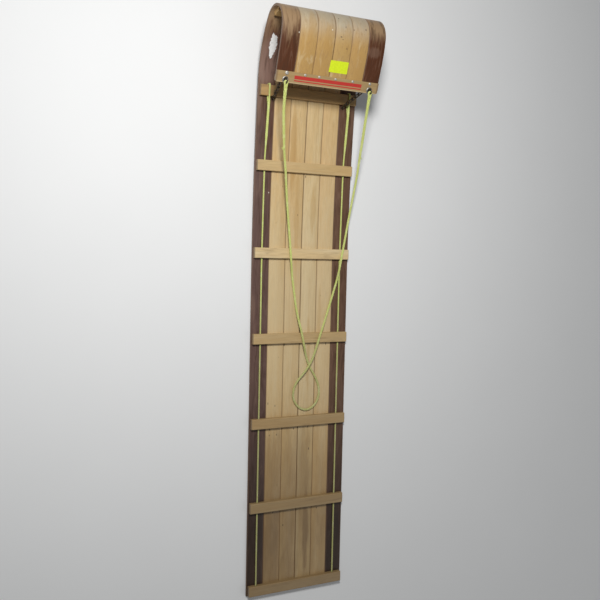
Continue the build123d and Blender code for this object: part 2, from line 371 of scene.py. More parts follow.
# Marks on each slat, seen from above: place across the slat and along it, half sizes, shade, strength
slat_marks = {
    1: [((-0.030, 2.30), (0.012, 0.30), worn, 0.35), ((0.0, 2.55), (0.06, 0.14), faded_and_sheen, 0.85),
        ((-0.02, 0.16), (0.06, 0.55), soot_and_shade, 0.5), ((0.0, 1.20), (0.07, 0.85), plum, 0.75),
        ((0.005, 2.27), (0.05, 0.10), bloom, 0.60)],
    2: [((0.020, 1.95), (0.016, 0.20), amber, 0.45), ((0.0, 2.57), (0.05, 0.06), olive_dust_and_sheen, 0.35),
        ((-0.005, 2.72), (0.022, 0.05), amber, 0.35), ((0.015, 2.64), (0.014, 0.05), amber, 0.30),
        ((-0.01, 0.12), (0.05, 0.26), brown, 0.40), ((0.0, 0.40), (0.06, 0.32), brown, 0.34),
        ((0.025, 0.34), (0.02, 0.03), brown, 0.3)],
    3: [((-0.017, 1.93), (0.014, 0.16), amber, 0.62), ((0.0, 2.57), (0.05, 0.06), olive_dust_and_sheen, 0.35),
        ((0.010, 2.70), (0.020, 0.06), amber, 0.28), ((0.012, 1.62), (0.010, 0.25), amber, 0.30),
        ((0.0, 0.09), (0.035, 0.09), brown, 0.30), ((0.0, 0.42), (0.05, 0.30), brown, 0.22)],
    4: [((0.010, 0.26), (0.013, 0.17), brown, 0.60), ((-0.010, 0.50), (0.035, 0.22), brown, 0.28),
        ((0.0, 2.58), (0.05, 0.06), olive_dust_and_sheen, 0.45), ((0.005, 1.05), (0.008, 0.16), amber, 0.35),
        ((0.012, 1.68), (0.012, 0.10), amber, 0.35), ((0.02, 2.69), (0.018, 0.06), amber, 0.22)],
    5: [((0.0, 2.57), (0.05, 0.06), olive_dust_and_sheen, 0.40), ((0.012, 2.785), (0.020, 0.05), amber, 0.60),
        ((-0.02, 1.20), (0.01, 0.12), amber, 0.25), ((-0.018, 2.70), (0.012, 0.05), amber, 0.30)],
    6: [((0.0, 2.56), (0.055, 0.11), faded_and_sheen, 0.80), ((0.030, 2.10), (0.010, 0.35), worn, 0.3),
        ((0.0, 1.20), (0.07, 0.85), russet, 0.75), ((0.0, 0.12), (0.04, 0.25), soot_and_shade, 0.6),
        ((-0.01, 2.72), (0.03, 0.02), worn, 0.30)],
}
# Small dark dents and pale chips: place across the slat and along it, half sizes
slat_dents = {
    2: [((-0.0178, 0.724), (0.0022, 0.0055)), ((-0.0198, 0.698), (0.0018, 0.0045)),
        ((0.0132, 0.699), (0.0018, 0.005)), ((0.0036, 0.355), (0.002, 0.004)),
        ((-0.0288, 0.838), (0.0016, 0.006)), ((0.0042, 0.826), (0.0016, 0.005))],
    3: [((0.0194, 0.720), (0.002, 0.006)), ((-0.0340, 1.090), (0.002, 0.007)),
        ((-0.0222, 0.292), (0.0022, 0.005))],
    4: [((0.0116, 0.722), (0.002, 0.005)), ((0.0176, 0.623), (0.002, 0.006)),
        ((-0.0303, 1.817), (0.0018, 0.006)), ((-0.0216, 2.606), (0.0022, 0.003)),
        ((-0.012, 2.681), (0.0042, 0.0022)), ((-0.004, 2.690), (0.003, 0.0016)),
        ((0.006, 2.641), (0.0016, 0.005)), ((0.018, 2.722), (0.004, 0.0016))],
    5: [((0.0154, 1.090), (0.0022, 0.006)), ((-0.0114, 0.349), (0.0024, 0.004)),
        ((0.0168, 2.527), (0.0024, 0.003)), ((0.0208, 2.638), (0.0028, 0.0035)),
        ((-0.0332, 2.647), (0.0018, 0.003))],
}
slat_chips = {1: [((0.0298, 1.740), (0.0022, 0.003)), ((0.0342, 2.689), (0.0022, 0.003))],
              3: [((0.0230, 2.660), (0.0024, 0.003))]}
# How much each slat's own tone departs from its kind's
slat_tones = {1: (1.0, 1.0, 1.0), 2: (1.0, 0.97, 0.92), 3: (0.98, 0.95, 0.90), 4: (1.03, 1.05, 1.08),
              5: (1.02, 0.99, 0.97), 6: (0.97, 0.95, 0.95)}


def cloud_varnish(finish, grain, along, seed):
    """Honey and milky clouds and a fine mottle in the pale slats' varnish, stronger towards the curl."""
    clouds = finish.noise(grain, (34, 11, 34), 3.5, 0.6, 0.7, (seed * 5.1, seed, 0))
    depth = finish.spread(along, 1.6, 2.45, 0.22, 0.42)
    finish.paint(finish.times(finish.spread(clouds, 0.52, 0.74), depth), honey)
    finish.paint(finish.times(finish.spread(clouds, 0.46, 0.28), depth), milky)
    mottle = finish.noise(grain, (150, 34, 150), 4.0, 0.65, 0.8, (seed * 3.3, 0, seed))
    depth = finish.spread(along, 2.0, 2.55, 0.08, 0.50)
    finish.paint(finish.times(finish.spread(mottle, 0.49, 0.66), depth), dark_honey)
    stain(finish, grain, (0.0, 1.22), (0.07, 0.42), milky, 0.42, edge=0.6, seed=seed)


def rub_stain(finish, grain, seed):
    """Places where the dark stain is rubbed thin, and others where it has gathered."""
    rubbing_and_highlight = finish.noise(grain, (64, 7, 64), 4.5, 0.68, 0.9, (seed * 2.9, 0, seed))
    finish.paint(finish.spread(rubbing_and_highlight, 0.50, 0.72, 0, 0.36), worn)
    finish.paint(finish.spread(rubbing_and_highlight, 0.52, 0.32, 0, 0.62), deep_stain)


def scatter_flecks(finish, grain, seed):
    """Small dark flecks, in a few cells of a stretched pattern."""
    place = finish.stretch(grain, (36, 13, 36), (seed * 4.1, seed * 2.7, 0))
    cells = finish.add("TexVoronoi", place, feature="F1")
    finish.feed(cells.inputs["Scale"], 1)
    small = finish.spread(cells.outputs["Distance"], 0.075, 0.035)
    rare = finish.spread(finish.split(cells.outputs["Color"])[0], 0.70, 0.78, 0, 0.6)
    finish.paint(finish.times(small, rare), fleck_brown)


def slat_finish(number, tone, stained):
    """Varnished wood that follows the bent slat, read from its place on the straight board."""
    finish = Finish(f"slat_{number}_wood")
    kind = stained_kind if stained else pale_kind
    tone = shaded(tone, slat_tones[number])
    grain = finish.attribute("board")
    across, along, lift = finish.split(grain)
    relief, figure, streak = wood_grain(finish, grain, tone, kind.rings, kind.streaks, number * 1.37)
    finish.paint(finish.spread(along, *toe_stretch, 0, 0.8), shaded(tone, kind.toe))
    finish.paint(finish.spread(along, *crown_stretch, 0, 0.8), shaded(tone, kind.crown))
    if not stained:
        cloud_varnish(finish, grain, along, number)
    for index, mark in enumerate(slat_marks[number]):
        stain(finish, grain, *mark, seed=number + index * 2.3)
    if stained:
        rub_stain(finish, grain, number)
    # Darker towards the tail: painted shade for the lamp's falloff, with patchy dirt
    patchy = finish.spread(finish.noise(grain, (9, 2.2, 9), 3.0, 0.6, 0.5), 0.25, 0.75, 0.55, 1.0)
    finish.paint(finish.times(finish.spread(along, 1.05, 0.2, 0, kind.dirt_and_shade_strength), patchy), kind.dirt_and_shade)
    edge = finish.calc("ADD", finish.calc("ABSOLUTE", across), finish.times(streak, 0.004))
    finish.paint(finish.spread(edge, slat_width / 2 - 0.0022, slat_width / 2 + 0.002, 0, 0.55), kind.edge)
    scatter_flecks(finish, grain, number)
    for shade, spots in ((soot_and_shade, slat_dents), (chalk, slat_chips)):
        for middle, size in spots.get(number, ()):
            away = finish.distance(grain, (*middle, 0), (*size, 1))
            finish.paint(finish.spread(away, 1.2, 0.7, 0, 0.8), shade)
    scratches = finish.noise(grain, (300, 5, 300), 3.0, 0.7, 1.2, (number, 0, 0))
    scratches = finish.spread(scratches, 0.66, 0.74, 0, 0.30)
    finish.paint(scratches, kind.scratch)
    gloss = finish.spread(figure, 0.3, 0.7, kind.roughness, 0.52)
    finish.bump(relief, 0.00022, 0.55)
    return finish.done(Roughness=finish.calc("ADD", gloss, finish.times(scratches, 0.4)),
                       Specular_IOR_Level=kind.specular, Coat_Weight=kind.coat, Coat_Roughness=0.36)


# How much a cleat's tone departs from the others', and where its end grain starts and is full
# The tip bar's and the front cleat's shares darken them as painted shade, the front cleat's for the shadow
# under the curl
cleat_tones = {"tip_bar": (0.66, 0.64, 0.60), "cleat_front": (0.76, 0.67, 0.56),
               "cleat_curl": (1.0, 0.95, 0.85), "cleat_5": (1.24, 1.36, 1.62), "cleat_3": (0.97, 0.95, 0.93)}
cleat_ends = (0.2205, 0.2222)


def cross_wood(name, tone, seed, stripe=False):
    """Varnished wood whose grain runs across the toboggan, darker towards the tail with painted shade and
    dirt.
    """
    finish = Finish(f"{name}_wood")
    place = finish.object_place()
    x, y, z = finish.split(place)
    tone = shaded(tone, cleat_tones.get(name, (1, 1, 1)))
    relief, figure, streak = wood_grain(finish, finish.join(y, x, z), tone, 0.40, 0.55, seed)
    dusty = finish.noise(place, (7, 40, 40), 4.0, 0.6, 0.6, (seed, 0, 0))
    finish.paint(finish.spread(dusty, 0.52, 0.80, 0, 0.45), dust)
    # Painted shade with some dirt, darker towards the tail
    finish.paint(finish.spread(y, 0.35, -1.15, 0, 0.60), cleat_dirt_and_shade)
    finish.paint(finish.spread(finish.calc("ABSOLUTE", x), *cleat_ends, 0, 0.55), end_grain)
    if stripe:
        paint_stripes(finish, place, x)
    finish.bump(relief, 0.0002, 0.55)
    return finish.done(Roughness=finish.spread(figure, 0.3, 0.7, 0.38, 0.52), Coat_Weight=0.12,
                       Coat_Roughness=0.30)


# Plain painted lines on the tip bar: distance below the bar's upper edge, half thickness, half length
stripe_lines = ((0.0195, 0.0068, 0.150), (0.0325, 0.0022, 0.150))
stripe_red = (0.46, 0.022, 0.016)
stripe_edge = 0.0002


def paint_stripes(finish, place, x):
    """Two worn red lines along the middle of the tip bar, whose lower edge is painted lighter, as bare wood
    and a painted highlight on its rounded edge.
    """
    start, forward, normal = on_slats(bar_start)
    down = finish.add("VectorMath", place, forward, operation="DOT_PRODUCT").outputs["Value"]
    down = finish.calc("SUBTRACT", down, start.dot(forward))
    worn_off = finish.noise(place, (160, 320, 320), 4.0, 0.65, 0.5)
    left_on = finish.spread(worn_off, 0.76, 0.68, 0.3, 0.97)
    for middle, half_thickness, half_length in stripe_lines:
        away = finish.calc("ABSOLUTE", finish.calc("SUBTRACT", down, middle))
        inside = finish.spread(away, half_thickness + stripe_edge, half_thickness - stripe_edge)
        within = finish.spread(finish.calc("ABSOLUTE", x), half_length + 2 * stripe_edge,
                               half_length - 2 * stripe_edge)
        finish.paint(finish.times(finish.times(inside, within), left_on), stripe_red)
    # The lower edge painted lighter: wear, and a painted highlight along its rounding
    rubbing_and_highlight = finish.calc("ADD", down, finish.times(worn_off, 0.003))
    finish.paint(finish.spread(rubbing_and_highlight, bar_width - 0.003, bar_width, 0, 0.5), bare_wood_and_highlight)


def rope_finish(name, tone):
    """Braided polypropylene: glossy fibres along each yarn, darker towards the tail with painted shade and
    dirt.
    """
    finish = Finish(name)
    place = finish.object_place()
    fibres = finish.noise(finish.attribute("fibre"), (70, 5200, 1), 2.0, 0.6, 0.3)
    bleached = finish.noise(place, (38, 38, 38), 3.0, 0.55, 0.4)
    dusty = finish.noise(place, (11, 11, 11), 3.0, 0.6, 0.3, (3, 1, 2))
    finish.colour = finish.mix(finish.spread(fibres, 0.30, 0.72), shaded(tone, (0.72, 0.72, 0.55)), tone)
    finish.paint(finish.spread(bleached, 0.45, 0.80, 0, 0.7), shaded(tone, (1.10, 1.08, 1.6)))
    finish.paint(finish.spread(dusty, 0.56, 0.78, 0, 0.30), rope_dust)
    # Painted shade with some dirt, darker towards the tail
    finish.paint(finish.spread(finish.split(place)[1], 0.2, -0.4, 0, 0.40), rope_mud_and_shade)
    finish.bump(fibres, 0.0003, 0.7)
    return finish.done(Roughness=finish.spread(fibres, 0.2, 0.8, 0.36, 0.55), Sheen_Weight=0.15,
                       Sheen_Roughness=0.4)


def metal_finish(name, tone, roughness, tarnish, tarnish_tone, sunk=(), sunk_size=0.0):
    """Metal with uneven polish and some tarnish, and with painted shade round the sunk places."""
    finish = Finish(name)
    place = finish.object_place()
    cloud = finish.noise(place, (130, 130, 130), 4.0, 0.6, 0.5)
    finish.colour = finish.mix(finish.spread(cloud, 0.50, 0.75, 0, tarnish), tone, tarnish_tone)
    for middle in sunk:
        away = finish.distance(place, middle, (sunk_size,) * 3)
        # Painted shade in the sunk places
        finish.paint(finish.spread(away, 1.05, 0.85, 0, 0.85), soot_and_shade)
    finish.bump(finish.noise(place, (900, 900, 900), 2.0, 0.5), 0.00006, 0.5)
    return finish.done(Roughness=finish.spread(cloud, 0.3, 0.8, roughness, roughness + 0.22), Metallic=0.92)


def paper_finish(name, tone, roughness, grain_scale, relief):
    """Paper: one tone with a faint mottle."""
    finish = Finish(name)
    mottle = finish.noise(finish.object_place(), (grain_scale,) * 3, 4.0, 0.6)
    finish.colour = finish.mix(finish.spread(mottle, 0.3, 0.7), shaded(tone, (0.88,) * 3), tone)
    finish.bump(mottle, relief, 0.6)
    return finish.done(Roughness=roughness)


def dress_node(name, material):
    """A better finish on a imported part's own material slots."""
    node = frame["nodes"][name]
    for holder in [node] + list(node.children_recursive):
        for material_slot in holder.material_slots:
            material_slot.material = material


def put_on(piece, material, slot, *nodes):
    """Gives a piece its finish, attaches it to the root body and hides the parts it stands for; its slot is
    not used.
    """
    piece.data.materials.clear()
    piece.data.materials.append(material)
    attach(piece, "root")
    if nodes:
        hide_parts(*nodes)


def add_object(name, data):
    piece = bpy.data.objects.new(name, data)
    bpy.context.scene.collection.objects.link(piece)
    return piece


def select_only(*pieces):
    """Leaves edit mode and selects these pieces and nothing else."""
    if bpy.context.mode != "OBJECT":
        bpy.ops.object.mode_set(mode="OBJECT")
    bpy.ops.object.select_all(action="DESELECT")
    for piece in pieces:
        piece.select_set(True)
    if pieces:
        bpy.context.view_layer.objects.active = pieces[0]


def apply_modifier(piece, kind, **settings):
    select_only(piece)
    bpy.ops.object.modifier_add(type=kind)
    for name, value in settings.items():
        setattr(piece.modifiers[-1], name, value)
    bpy.ops.object.modifier_apply(modifier=piece.modifiers[-1].name)


def start_shape(name, primitive, **placing):
    """A primitive, alone selected, whose object sits at the origin with its place in its mesh."""
    select_only()
    primitive(**placing)
    piece = bpy.context.object
    piece.name = piece.data.name = name
    bpy.ops.object.transform_apply(location=True, rotation=True, scale=True)
    return piece


def choose_faces(piece, test):
    """In edit mode, selects the faces that pass a test and nothing else."""
    bpy.ops.mesh.select_mode(type="FACE")
    bpy.ops.mesh.select_all(action="DESELECT")
    shape = bmesh.from_edit_mesh(piece.data)
    for face in shape.faces:
        if test(face):
            face.select_set(True)
    bmesh.update_edit_mesh(piece.data)


def close_up(piece, smooth_below=None):
    """Merges doubles, turns faces outwards, leaves edit mode and smooths edges below an angle in degrees."""
    bpy.ops.mesh.select_all(action="SELECT")
    bpy.ops.mesh.remove_doubles(threshold=1e-6)
    bpy.ops.mesh.normals_make_consistent(inside=False)
    bpy.ops.object.mode_set(mode="OBJECT")
    if smooth_below:
        select_only(piece)
        bpy.ops.object.shade_smooth_by_angle(angle=radians(smooth_below))


def scaled_primitive(name, primitive, place, scale, rotation=(0, 0, 0), **options):
    """A primitive stretched to a given size at a given place."""
    def add(**placing):
        primitive(location=place, rotation=rotation, **placing)
        bpy.context.object.scale = scale
    return start_shape(name, add, **options)


# Each slat's edges across the deck; the gaps between slats differ a little, the middle one being widest
slat_edges = ((-0.2280, -0.1530), (-0.1518, -0.0765), (-0.0757, -0.0010), (0.0010, 0.0757), (0.0765, 0.1518),
              (0.1530, 0.2280))
slat_corner = 0.0012
# Steps of the spin round each bend
bend_steps = (12, 16, 48, 8)


def bend_slat(number):
    """One slat: its section drawn at the tail, pulled along the flat and spun round each bend."""
    left, right = slat_edges[number - 1]
    start = on_slats(0.0, slat_thickness / 2, (left + right) / 2)[0]
    slat = scaled_primitive(f"bent_slat_{number}", bpy.ops.mesh.primitive_plane_add, start,
                            (right - left, slat_thickness, 1), rotation=(pi / 2, 0, 0), size=1)
    bpy.ops.object.mode_set(mode="EDIT")
    bpy.ops.mesh.select_all(action="SELECT")
    bpy.ops.mesh.bevel(offset=slat_corner, affect="VERTICES", segments=3)
    bpy.ops.mesh.select_all(action="SELECT")
    bpy.ops.mesh.extrude_region_move(TRANSFORM_OT_translate={"value": (0, flat_length, 0)})
    for (radius, turn), steps, run in zip(bends, bend_steps, runs[1:]):
        middle = (0, run.y - radius * sin(run.heading), run.z + radius * cos(run.heading))
        bpy.ops.mesh.spin(steps=steps, angle=turn, center=middle, axis=(-1, 0, 0))
    forward = on_slats(runs[-1].start)[1]
    bpy.ops.mesh.extrude_region_move(TRANSFORM_OT_translate={"value": forward * (tip_straight + bar_lap)})
    close_up(slat, smooth_below=35)
    board = slat.data.attributes.new("board", "FLOAT_VECTOR", "POINT")
    for point, stored in zip(slat.data.vertices, board.data):
        along, lift = unbend(point.co.y, point.co.z)
        stored.vector = (point.co.x - (left + right) / 2, along, lift)
    return slat


# A screw head in units of its own width: rim, each ring's step in and up, and the cross recess
head_rim = 0.12
head_rings = ((0.05, 0.06), (0.09, 0.05), (0.12, 0.03))
recess_place = (0, 0, 0.25)
recess_size = (0.60, 0.11, 0.28)
# How much further each head of a row is turned than the one before
head_turn = 1.9


def screw_head():
    """A domed screw head with a cross recess, one unit across, that sits on the origin."""
    head = start_shape("screw_head", bpy.ops.mesh.primitive_cylinder_add, vertices=28, radius=0.5,
                       depth=head_rim, location=(0, 0, head_rim / 2))
    bpy.ops.object.mode_set(mode="EDIT")
    choose_faces(head, lambda face: face.normal.z > 0.9)
    for inward, rise in head_rings:
        bpy.ops.mesh.inset(thickness=inward)
        bpy.ops.transform.translate(value=(0, 0, rise))
    for turn in (0, pi / 2):
        cutter = scaled_primitive("recess", bpy.ops.mesh.primitive_cube_add, recess_place, recess_size,
                                  rotation=(0, 0, turn), size=1)
        apply_modifier(head, "BOOLEAN", object=cutter, solver="EXACT")
        bpy.data.objects.remove(cutter)
    bpy.ops.object.mode_set(mode="EDIT")
    close_up(head, smooth_below=30)
    return head


def copy_screws(name, head, places):
    """One piece of many heads, each with its place, outward direction, size and share of the full height."""
    copies = []
    for index, (place, outward, size, height) in enumerate(places):
        mesh = head.data.copy()
        stand = outward.to_track_quat("Z", "Y").to_matrix().to_4x4()
        stand = stand @ Matrix.Rotation(index * head_turn, 4, "Z")
        mesh.transform(Matrix.Translation(place) @ stand @ Matrix.Diagonal((size, size, size * height, 1)))
        copies.append(add_object(name, mesh))
    select_only(*copies)
    bpy.ops.object.join()
    copies[0].name = copies[0].data.name = name
    return copies[0]


# Corners of the papers, in turn: place across the deck and along the running line
slip_corners = ((-0.0045, 2.7717), (0.0756, 2.7715), (0.0752, 2.8180), (-0.0067, 2.8177))
scrap_corners = ((-0.192, 2.388), (-0.174, 2.376), (-0.165, 2.352), (-0.168, 2.326), (-0.182, 2.287),
                 (-0.187, 2.287), (-0.197, 2.320), (-0.197, 2.352))
paper_thickness = 0.0003
paper_blank_size = 0.13
# Waves of a paper's edge: share of its raggedness, and turns across the deck and along it
edge_waves = ((1.0, 560, 330), (0.7, -640, 1250), (0.4, 0, 2900))


def paper_sheet(name, corners, lift, ragged):
    """A thin sheet cut to its corners and laid on the bent slats."""
    middle = sum((Vector((*corner, 0)) for corner in corners), Vector()) / len(corners)
    sheet = start_shape(name, bpy.ops.mesh.primitive_grid_add, x_subdivisions=40, y_subdivisions=48,
                        size=paper_blank_size, location=middle)
    bpy.ops.object.mode_set(mode="EDIT")
    sides = list(zip(corners, corners[1:] + corners[:1]))
    turned = sum(first[0] * second[1] - second[0] * first[1] for first, second in sides)
    for first, second in sides:
        edge = Vector((second[0] - first[0], second[1] - first[1], 0)).normalized()
        outward = edge.cross(Vector((0, 0, 1 if turned > 0 else -1)))
        bpy.ops.mesh.select_all(action="SELECT")
        bpy.ops.mesh.bisect(plane_co=(*first, 0), plane_no=outward, clear_outer=True)
    close_up(sheet)
    for point in sheet.data.vertices:
        x, along = point.co.x, point.co.y
        stir = ragged * sum(share * sin(x * turns + along * onward) for share, turns, onward in edge_waves)
        point.co = on_slats(along + stir, lift, x + stir * 1.3)[0]
    apply_modifier(sheet, "SOLIDIFY", thickness=paper_thickness, offset=0)
    bpy.ops.object.mode_set(mode="EDIT")
    close_up(sheet, smooth_below=40)
    return sheet


# The screws along the tip bar: place across it and head size
bar_screw_row = ((-0.185, 0.0145), (-0.106, 0.010), (-0.044, 0.010), (0.028, 0.010), (0.1065, 0.0105),
                 (0.1866, 0.0115))
bar_screw_along = 0.0065
# The screws under the cleats: stagger along the slat, how far they are sunk, head size and height share
flush_stagger = 0.009
flush_sunk = 0.0005
flush_size = 0.0085
flush_height = 0.32


def bar_screws():
    """Heads along the tip bar's upper edge."""
    place, forward, normal = on_slats(bar_start, -bar_lip)
    place += forward * bar_screw_along
    return [(place + Vector((x, 0, 0)), -normal, size, 1.0) for x, size in bar_screw_row]


def running_side_screws():
    """Nearly flush heads under each cleat, one to a slat, staggered."""
    alongs = [cleat_width / 2 + number * cleat_pitch for number in range(6)]
    alongs += [front_cleat_along, crown.start + curl_cleat_turn * crown.radius]
    places = []
    for along in alongs:
        for number, (left, right) in enumerate(slat_edges):
            step = flush_stagger if number % 2 else -flush_stagger
            place, forward, normal = on_slats(along + step, flush_sunk, (left + right) / 2)
            places.append((place, -normal, flush_size, flush_height))
    return places


def add_spline(curve, places):
    """A smooth line that the places control, added to a curve."""
    spline = curve.splines.new("NURBS")
    spline.points.add(len(places) - 1)
    for point, place in zip(spline.points, places):
        point.co = (*place, 1)
    spline.order_u = 3
    spline.use_endpoint_u = True


def spline_line(route, spacing):
    """Evenly spaced places along the smooth line that a route's points control, and their lengths."""
    curve = bpy.data.curves.new("route", "CURVE")
    curve.dimensions = "3D"
    curve.resolution_u = 24
    add_spline(curve, route)
    holder = bpy.data.objects.new("route", curve)
    mesh = bpy.data.meshes.new_from_object(holder)
    places = np.array([tuple(point.co) for point in mesh.vertices])
    bpy.data.objects.remove(holder)
    bpy.data.meshes.remove(mesh)
    bpy.data.curves.remove(curve)
    lengths = np.concatenate([[0], np.cumsum(np.linalg.norm(np.diff(places, axis=0), axis=1))])
    wanted = np.linspace(0, lengths[-1], max(2, int(round(lengths[-1] / spacing))) + 1)
    return np.column_stack([np.interp(wanted, lengths, places[:, axis]) for axis in range(3)]), wanted


def line_frames(line):
    """Directions along a line, and two more square to it that don't twist."""
    ahead = np.gradient(line, axis=0)
    ahead /= np.linalg.norm(ahead, axis=1)[:, None]
    side = np.zeros_like(line)
    first = Vector(ahead[0]).orthogonal().normalized()
    side[0] = first
    for index in range(1, len(line)):
        carried = side[index - 1] - ahead[index] * side[index - 1].dot(ahead[index])
        side[index] = carried / np.linalg.norm(carried)
    return ahead, side, np.cross(ahead, side)


# The braid: its yarns, and each yarn's place, weave and half section as shares of the rope's radius
yarns_each_way = 4
yarn_sides = 6
yarn_place = 0.66
yarn_weave = 0.15
yarn_half_width = 0.43
yarn_half_height = 0.21
fibre_step = 0.0012
braid_spacing = 0.0016
side_spacing = 0.0014
loop_spacing = 0.0012


def braid(name, route, radius_at, lay, spacing=braid_spacing):
    """A braided rope: yarns laid both ways round a smooth line, over and under one another by turns."""
    line, lengths = spline_line(route, spacing)
    ahead, side, up = line_frames(line)
    radius = np.array([radius_at(length, lengths[-1]) for length in lengths])
    turned = np.cumsum(2 * pi * np.diff(lengths, prepend=0) / (lay * 2 * radius))
    count = len(line)
    grid = np.arange(count - 1)
    verts, quads, ends, fibres = [], [], [], []
    for hand in (1, -1):
        for yarn in range(yarns_each_way):
            angle = 2 * pi * yarn / yarns_each_way + hand * turned
            weave = hand * np.cos(yarns_each_way * turned)
            outward = np.cos(angle)[:, None] * side + np.sin(angle)[:, None] * up
            middle = line + outward * (radius * (yarn_place + yarn_weave * weave))[:, None]
            heading = np.gradient(middle, axis=0)
            heading /= np.linalg.norm(heading, axis=1)[:, None]
            across = np.cross(heading, outward)
            across /= np.linalg.norm(across, axis=1)[:, None]
            outward = np.cross(across, heading)
            first = len(verts) * count
            for turn in np.linspace(0, 2 * pi, yarn_sides, endpoint=False):
                verts.append(middle + across * (radius * yarn_half_width * cos(turn))[:, None]
                             + outward * (radius * yarn_half_height * sin(turn))[:, None])
                fibre_place = (lengths, np.full(count, turn * fibre_step), np.full(count, yarn))
                fibres.append(np.column_stack(fibre_place))
            for index in range(yarn_sides):
                here = first + index * count + grid
                there = first + (index + 1) % yarn_sides * count + grid
                quads += np.column_stack([here, there, there + 1, here + 1]).tolist()
            ring = [first + index * count for index in range(yarn_sides)]
            ends += [ring[::-1], [place + count - 1 for place in ring]]
    mesh = bpy.data.meshes.new(name)
    mesh.from_pydata(np.concatenate(verts).tolist(), [], quads + ends)
    fibre = mesh.attributes.new("fibre", "FLOAT_VECTOR", "POINT")
    fibre.data.foreach_set("vector", np.concatenate(fibres).astype(np.float32).ravel())
    rope = add_object(name, mesh)
    select_only(rope)
    bpy.ops.object.mode_set(mode="EDIT")
    close_up(rope)
    bpy.ops.object.shade_smooth()
    return rope, line


# Loose yarns at a tucked end: their number, the angle between them, their size, and how far they reach
# along the rope and out from it, each as a mean and how much it varies
loose_yarns = 11
loose_yarn_fan = 0.23
loose_yarn_size = 0.0012
loose_reach = (0.008, 0.004)
loose_spread = (0.0050, 0.0016)


def frayed_end(name, line, spacing, at, onward, aside):
    """Short loose yarns that stand out of a rope's side where its tucked end comes out."""
    index = int(at / spacing)
    place = Vector(line[index])
    ahead = (Vector(line[index + 8 * onward]) - place).normalized()
    aside = (Vector(aside) - ahead * ahead.dot(Vector(aside))).normalized()
    curve = bpy.data.curves.new(name, "CURVE")
    curve.dimensions = "3D"
    curve.bevel_depth = loose_yarn_size / 2
    curve.bevel_resolution = 1
    curve.resolution_u = 4
    curve.use_fill_caps = True
    skin = tow_rope_size / 2
    for yarn in range(loose_yarns):
        out = Matrix.Rotation((yarn - loose_yarns // 2) * loose_yarn_fan, 3, ahead) @ aside
        reach = loose_reach[0] + loose_reach[1] * sin(yarn * 2.7)
        spread = loose_spread[0] + loose_spread[1] * cos(yarn * 4.1)
        shape = ((0, skin / 2), (0.002, skin * 0.9), (reach * 0.6, skin + spread * 0.4),
                 (reach, skin + spread))
        add_spline(curve, [place + ahead * forward + out * outward for forward, outward in shape])
    select_only(add_object(name, curve))
    bpy.ops.object.convert(target="MESH")
    tuft = bpy.context.object
    tuft.name = tuft.data.name = name
    return tuft


# The tow rope's route between its splices, from the left one to the right one
tow_route = [
    (-0.179, 0.860, 0.204), (-0.170, 0.811, 0.179), (-0.154, 0.745, 0.149), (-0.138, 0.673, 0.1185),
    (-0.117, 0.598, 0.091), (-0.102, 0.521, 0.068), (-0.087, 0.441, 0.050), (-0.074, 0.363, 0.0395),
    (-0.066, 0.296, 0.037), (-0.059, 0.222, 0.0375), (-0.046, 0.169, 0.017), (-0.034, 0.103, 0.0143),
    (-0.022, 0.023, 0.015), (-0.013, -0.043, 0.035), (-0.004, -0.075, 0.0375), (0.011, -0.140, 0.037),
    (0.027, -0.177, 0.016), (0.046, -0.231, 0.0143), (0.076, -0.276, 0.0143), (0.097, -0.322, 0.0144),
    (0.099, -0.367, 0.0143), (0.079, -0.409, 0.0144), (0.038, -0.430, 0.0143), (-0.005, -0.411, 0.0144),
    (-0.029, -0.369, 0.0143), (-0.025, -0.322, 0.016), (-0.006, -0.286, 0.022), (0.018, -0.259, 0.028),
    (0.054, -0.208, 0.028), (0.072, -0.140, 0.0375), (0.093, -0.074, 0.037), (0.122, -0.022, 0.016),
    (0.146, 0.053, 0.0143), (0.168, 0.125, 0.015), (0.174, 0.177, 0.031), (0.178, 0.222, 0.038),
    (0.192, 0.296, 0.0375), (0.202, 0.363, 0.041), (0.210, 0.441, 0.052), (0.217, 0.521, 0.069),
    (0.220, 0.598, 0.091), (0.215, 0.673, 0.1185), (0.210, 0.745, 0.149), (0.203, 0.811, 0.179),
    (0.197, 0.860, 0.204),
]
# The splices: how far each end is tucked back, the radius there and how it tapers, the throat by the eye,
# and how far from the eye the rope starts and is free
splice_lengths = (0.2335, 0.244)
splice_swell = 0.0060
splice_taper = 0.04
throat_length = 0.05
throat_swell = 0.0012
splice_mouth = 0.036
# One leg of a spliced loop from its neck to the wire: ahead of the wire's outside and out from the middle
loop_leg = ((0.064, 0.0016), (0.044, 0.0020), (0.026, 0.0027), (0.013, 0.0034), (0.003, 0.0058),
            (-0.0064, 0.0064))
# A loop's fullness over its rope's, how much less on the wire, and over what length from its middle
loop_fullness = 1.06
loop_pressing = 0.20
pressed_length = 0.022
# Length of a side rope's tucked end and how much it swells there
side_tuck = 0.205
side_swell = 0.0020


def tow_radius(length, whole):
    """The rope is thick where its own end is tucked inside it, by each bolt."""
    plain = tow_rope_size / 2
    tucked = max(splice_lengths[0] - length, splice_lengths[1] - (whole - length), 0.0)
    throat = max(0.0, 1 - min(length, whole - length) / throat_length)
    return plain + (splice_swell - plain) * min(1.0, tucked / splice_taper) + throat * throat_swell


def bolt_eye(sign):
    """Middle of a bolt's eye, the direction in which the rope leaves it, and the bar's normal."""
    place, forward, normal = on_slats(bar_start, -bolt_eye_height, sign * bolt_x)
    middle = place + forward * bolt_along
    lead = (Vector(tow_route[0 if sign < 0 else -1]) - middle).normalized()
    return middle, lead, normal


